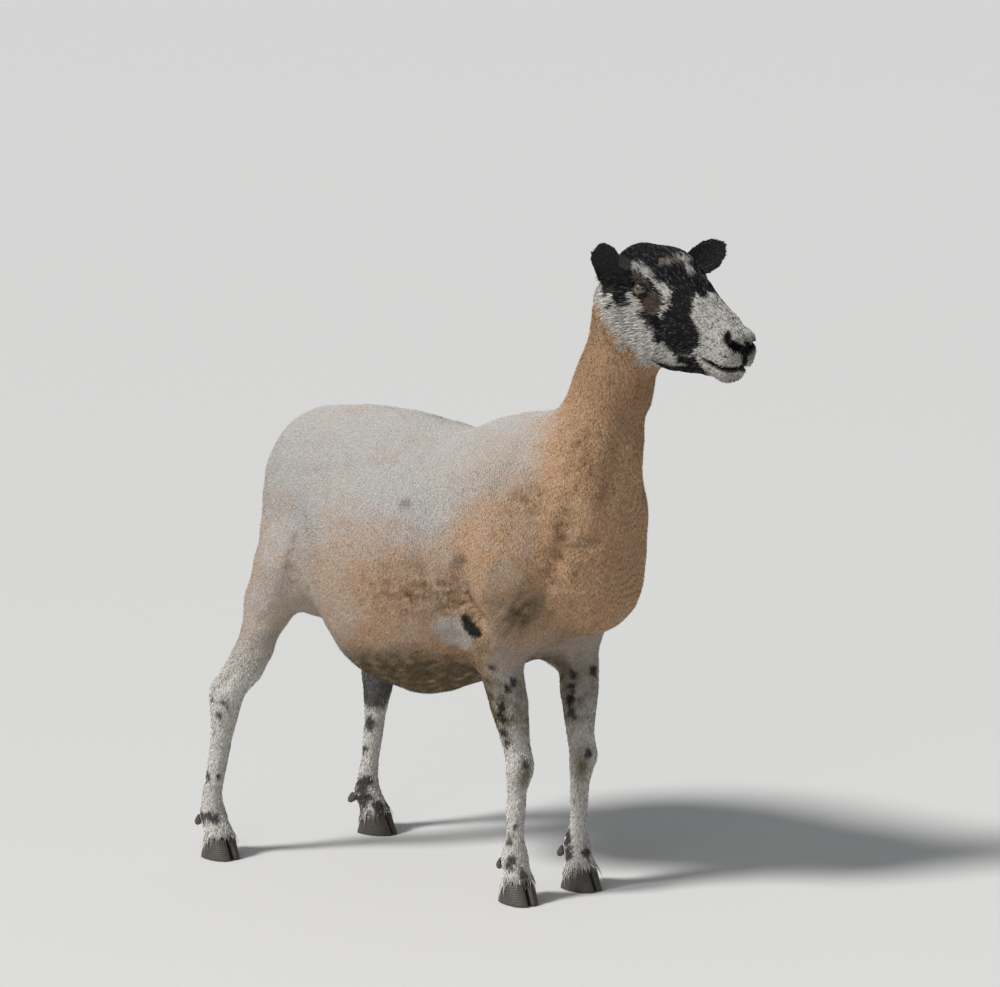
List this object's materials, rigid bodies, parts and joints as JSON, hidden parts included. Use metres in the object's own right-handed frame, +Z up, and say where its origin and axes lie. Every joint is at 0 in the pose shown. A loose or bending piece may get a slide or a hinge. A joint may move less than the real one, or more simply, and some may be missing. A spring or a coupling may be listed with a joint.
{
  "type": "sheep, freshly shorn mule ewe",
  "caption": "Life-size still model of a freshly shorn ewe, standing alert with head raised, with mottled dark face and pale legs.",
  "frame": {"origin": "on the floor, below the centre of the animal's box", "axes": "+X towards the head, +Y to the animal's left, +Z up"},
  "size_m": [1.0393, 0.3842, 1.06],
  "materials": {
    "fleece": "short shorn wool, matt",
    "face_hair": "short smooth hair, black with white patches",
    "leg_hair": "short smooth hair, white with black spots",
    "horn": "dull hoof horn",
    "eye": "wet gloss"
  },
  "bodies": {
    "root": {"trunk": "fleece", "neck": "fleece", "head": "face_hair", "eye_left": "eye", "eye_right": "eye", "ear_right": "face_hair", "ear_left": "face_hair", "tail": "fleece", "leg_front_right": "leg_hair", "claw_front_right_outer": "horn", "claw_front_right_inner": "horn", "dewclaw_front_right_outer": "horn", "dewclaw_front_right_inner": "horn", "leg_front_left": "leg_hair", "claw_front_left_outer": "horn", "claw_front_left_inner": "horn", "dewclaw_front_left_outer": "horn", "dewclaw_front_left_inner": "horn", "leg_hind_right": "leg_hair", "claw_hind_right_outer": "horn", "claw_hind_right_inner": "horn", "dewclaw_hind_right_outer": "horn", "dewclaw_hind_right_inner": "horn", "leg_hind_left": "leg_hair", "claw_hind_left_outer": "horn", "claw_hind_left_inner": "horn", "dewclaw_hind_left_outer": "horn", "dewclaw_hind_left_inner": "horn"}
  },
  "joints": []
}
